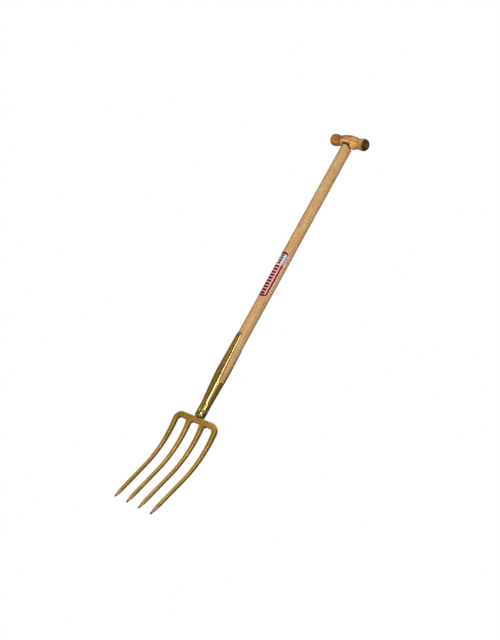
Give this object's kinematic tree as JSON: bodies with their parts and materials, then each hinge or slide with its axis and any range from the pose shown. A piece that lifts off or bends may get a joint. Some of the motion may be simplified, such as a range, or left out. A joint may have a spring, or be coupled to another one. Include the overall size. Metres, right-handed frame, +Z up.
{
  "type": "garden fork",
  "caption": "Long-handled garden fork with slender forward-swept pointed tines under a bent crossbar, a strapped steel socket, a round wooden shaft and a turned wooden T-grip.",
  "frame": {"origin": "on the neck's axis, where the neck stands on its seat in the top of the crossbar", "axes": "+Z up along the shaft towards the T-grip, +X across the tines and along the T-grip, -Y to the front, the way the tines sweep"},
  "size_m": [0.1772, 0.0831, 1.2489],
  "materials": {
    "head_lacquer": "glossy gold-bronze lacquer over forged steel",
    "rivet_steel": "lacquered rivet steel with bare wear on the domes",
    "shaft_ash": "oiled ash, straight grain along the shaft",
    "grip_varnish": "varnished turned hardwood, satin",
    "wedge_wood": "plain hardwood, end grain showing",
    "label_film": "printed film, crimson on cream, no lettering"
  },
  "bodies": {
    "root": {"tine_bow": "head_lacquer", "inner_tine_left": "head_lacquer", "inner_tine_right": "head_lacquer", "neck": "head_lacquer", "neck_weld": "head_lacquer", "socket": "head_lacquer", "strap_rivets": "rivet_steel", "rivet_washer": "rivet_steel", "shaft": "shaft_ash", "t_grip": "grip_varnish", "tenon_wedge": "wedge_wood", "label": "label_film"}
  },
  "joints": []
}
